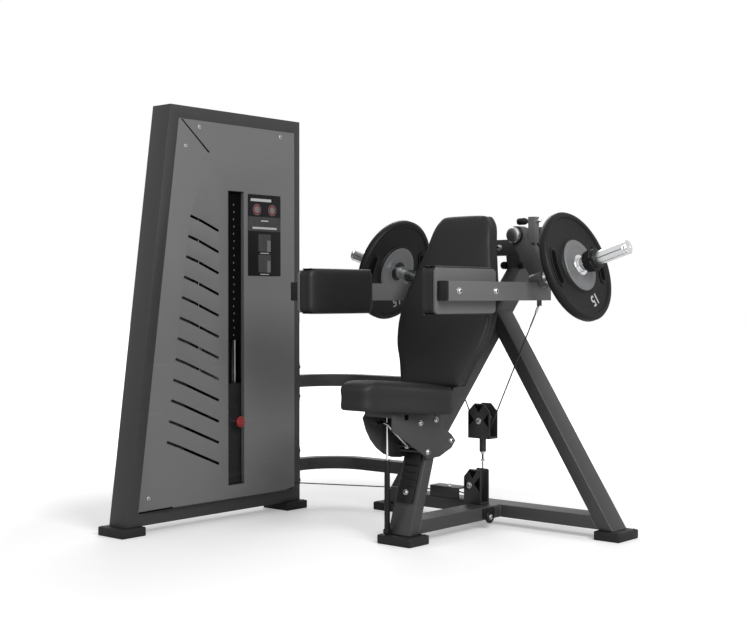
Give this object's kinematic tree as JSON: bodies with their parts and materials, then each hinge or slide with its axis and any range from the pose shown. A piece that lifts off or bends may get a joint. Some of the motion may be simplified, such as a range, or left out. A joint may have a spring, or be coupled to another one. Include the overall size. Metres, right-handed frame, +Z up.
{
  "type": "lateral raise machine",
  "caption": "Seated shoulder machine with two padded swinging arms, loading discs, cable and pulleys, adjustable seat, and a weight stack behind a folded guard.",
  "frame": {"origin": "on the floor, under the front foot, on the machine's centre plane", "axes": "+Z up; -X is the way the seated user faces; +Y points to the weight tower"},
  "size_m": [1.3578, 1.5942, 1.582],
  "materials": {
    "frame_paint": "charcoal powder coat, fine texture",
    "guard_paint": "mid grey satin powder coat",
    "foot": "matte black",
    "black_plastic": "black moulded, satin",
    "disc_rubber": "black rubber, matte",
    "cable_coat": "black coated wire rope",
    "chrome": "bright plate",
    "stack_iron": "black painted iron",
    "red_knob": "glossy red",
    "pad_vinyl": "black vinyl, fine grain"
  },
  "bodies": {
    "frame": {"front_foot": "foot", "near_rear_foot": "foot", "far_rear_foot": "foot", "tower_left_foot": "foot", "tower_right_foot": "foot", "front_post": "frame_paint", "base_frame": "frame_paint", "near_leg": "frame_paint", "far_leg": "frame_paint", "spine": "frame_paint", "back_support": "frame_paint", "cross_beam": "frame_paint", "tower_frame": "frame_paint", "upper_tie_tube": "frame_paint", "lower_tie_tube": "frame_paint", "front_panel": "guard_paint", "rear_panel": "guard_paint", "rack_cover": "black_plastic", "lower_pulley_housing": "black_plastic", "floor_pulley_housing": "black_plastic", "back_pad": "pad_vinyl", "guide_rod_left": "chrome", "guide_rod_right": "chrome", "stack_buffer": "disc_rubber", "resting_plates": "stack_iron", "run_cable": "cable_coat", "drop_cable": "cable_coat", "lift_cable": "cable_coat"},
    "near_arm": {"near_arm_tube": "frame_paint", "near_pad_plate": "frame_paint", "near_arm_pad": "pad_vinyl", "near_disc": "disc_rubber", "near_sleeve": "chrome", "near_collar": "black_plastic"},
    "far_arm": {"far_arm_tube": "frame_paint", "far_pad_plate": "frame_paint", "far_arm_pad": "pad_vinyl", "far_disc": "disc_rubber", "far_sleeve": "chrome", "far_collar": "black_plastic"},
    "near_pull_pin": {"near_pull_pin": "black_plastic"},
    "far_pull_pin": {"far_pull_pin": "black_plastic"},
    "near_upper_cable": {"near_cable_upper": "cable_coat"},
    "far_upper_cable": {"far_cable_upper": "cable_coat"},
    "floating_pulley": {"floating_housing": "black_plastic"},
    "floating_wheel": {"floating_wheel": "black_plastic"},
    "near_lower_cable": {"near_cable_lower": "cable_coat"},
    "far_lower_cable": {"far_cable_lower": "cable_coat"},
    "lower_wheel": {"lower_wheel": "black_plastic"},
    "floor_wheel": {"floor_wheel": "black_plastic"},
    "tower_lower_wheel": {"tower_lower_wheel": "black_plastic"},
    "tower_top_wheel": {"tower_top_wheel": "black_plastic"},
    "lifted_stack": {"lifted_plates": "stack_iron", "selector_rod": "stack_iron"},
    "selector_pin": {"selector_pin": "red_knob"},
    "seat": {"seat_pad": "pad_vinyl", "seat_carriage": "frame_paint"},
    "release_lever": {"release_lever": "chrome"},
    "gas_cylinder": {"gas_cylinder": "black_plastic"},
    "gas_rod": {"gas_rod": "chrome"}
  },
  "joints": [
    {"name": "near_arm_raise", "type": "hinge", "parent": "frame", "child": "near_arm", "pos_m": [0.6, -0.13, 1.097], "axis": [-1, 0, 0], "range_deg": [0, 60]},
    {"name": "far_arm_raise", "type": "hinge", "parent": "frame", "child": "far_arm", "pos_m": [0.6, 0.13, 1.097], "axis": [1, 0, 0], "range_deg": [0, 60]},
    {"name": "near_pin_pull", "type": "slide", "parent": "near_arm", "child": "near_pull_pin", "axis": [0, 1, 0], "range_m": [0, 0.012], "stiffness_N_per_m": 500, "springref_m": -0.01},
    {"name": "far_pin_pull", "type": "slide", "parent": "far_arm", "child": "far_pull_pin", "axis": [0, -1, 0], "range_m": [0, 0.012], "stiffness_N_per_m": 500, "springref_m": -0.01},
    {"name": "near_cable_turn", "type": "hinge", "parent": "near_arm", "child": "near_upper_cable", "pos_m": [0.51, -0.253, 0.841], "axis": [1, 0, 0], "range_deg": [0, 70]},
    {"name": "far_cable_turn", "type": "hinge", "parent": "far_arm", "child": "far_upper_cable", "pos_m": [0.51, 0.253, 0.841], "axis": [-1, 0, 0], "range_deg": [0, 70]},
    {"name": "pulley_rise", "type": "slide", "parent": "frame", "child": "floating_pulley", "axis": [0, 0, 1], "range_m": [0, 0.141], "deforming": ["drop_cable"]},
    {"name": "floating_wheel_spin", "type": "hinge", "parent": "floating_pulley", "child": "floating_wheel", "pos_m": [0.51, 0, 0.4], "axis": [1, 0, 0], "continuous": true},
    {"name": "near_cable_swing", "type": "hinge", "parent": "floating_pulley", "child": "near_lower_cable", "pos_m": [0.51, -0.03888, 0.38187], "axis": [1, 0, 0], "range_deg": [0, 10]},
    {"name": "far_cable_swing", "type": "hinge", "parent": "floating_pulley", "child": "far_lower_cable", "pos_m": [0.51, 0.03888, 0.38187], "axis": [-1, 0, 0], "range_deg": [0, 10]},
    {"name": "lower_wheel_spin", "type": "hinge", "parent": "frame", "child": "lower_wheel", "pos_m": [0.51, 0.0429, 0.154], "axis": [-1, 0, 0], "range_deg": [0, 190]},
    {"name": "floor_wheel_spin", "type": "hinge", "parent": "frame", "child": "floor_wheel", "pos_m": [0.587, 0.219, 0.105], "axis": [0, 0, -1], "range_deg": [0, 300]},
    {"name": "tower_lower_wheel_spin", "type": "hinge", "parent": "frame", "child": "tower_lower_wheel", "pos_m": [0.3, 0.8511, 0.135], "axis": [-1, 0, 0], "range_deg": [0, 340]},
    {"name": "tower_top_wheel_spin", "type": "hinge", "parent": "frame", "child": "tower_top_wheel", "pos_m": [0.0469, 0.875, 1.44], "axis": [0, 1, 0], "range_deg": [0, 140]},
    {"name": "stack_lift", "type": "slide", "parent": "frame", "child": "lifted_stack", "axis": [0, 0, 1], "range_m": [0, 0.141], "deforming": ["lift_cable"]},
    {"name": "pin_withdraw", "type": "slide", "parent": "lifted_stack", "child": "selector_pin", "axis": [0, -1, 0], "range_m": [0, 0.08]},
    {"name": "seat_height", "type": "slide", "parent": "frame", "child": "seat", "axis": [0.3206, 0, 0.9472], "range_m": [-0.12, 0]},
    {"name": "lever_squeeze", "type": "hinge", "parent": "seat", "child": "release_lever", "pos_m": [0.081, 0.015, 0.338], "axis": [0, -1, 0], "range_deg": [0, 6], "stiffness_Nm_per_rad": 2, "springref_deg": -11.46},
    {"name": "gas_spring_tilt", "type": "hinge", "parent": "frame", "child": "gas_cylinder", "pos_m": [-0.002, 0.04, 0.045], "axis": [0, 1, 0], "range_deg": [-8, 0]},
    {"name": "gas_spring_stroke", "type": "slide", "parent": "gas_cylinder", "child": "gas_rod", "axis": [0, 0, 1], "range_m": [-0.112, 0]}
  ],
  "couplings": [
    {"joint": "far_arm_raise", "follows": "near_arm_raise", "ratio": 1},
    {"joint": "pulley_rise", "follows": "near_arm_raise", "m_per_rad": 0.13369},
    {"joint": "stack_lift", "follows": "near_arm_raise", "m_per_rad": 0.13369},
    {"joint": "near_cable_turn", "follows": "near_arm_raise", "ratio": 1.1502},
    {"joint": "far_cable_turn", "follows": "near_arm_raise", "ratio": 1.1502},
    {"joint": "near_cable_swing", "follows": "near_arm_raise", "ratio": 0.1502},
    {"joint": "far_cable_swing", "follows": "near_arm_raise", "ratio": 0.1502},
    {"joint": "lower_wheel_spin", "follows": "near_arm_raise", "ratio": 3.116},
    {"joint": "floor_wheel_spin", "follows": "near_arm_raise", "ratio": 4.97},
    {"joint": "tower_lower_wheel_spin", "follows": "near_arm_raise", "ratio": 5.594},
    {"joint": "tower_top_wheel_spin", "follows": "near_arm_raise", "ratio": 2.232},
    {"joint": "gas_spring_tilt", "follows": "seat_height", "rad_per_m": 1.11},
    {"joint": "gas_spring_stroke", "follows": "seat_height", "ratio": 0.9258}
  ]
}
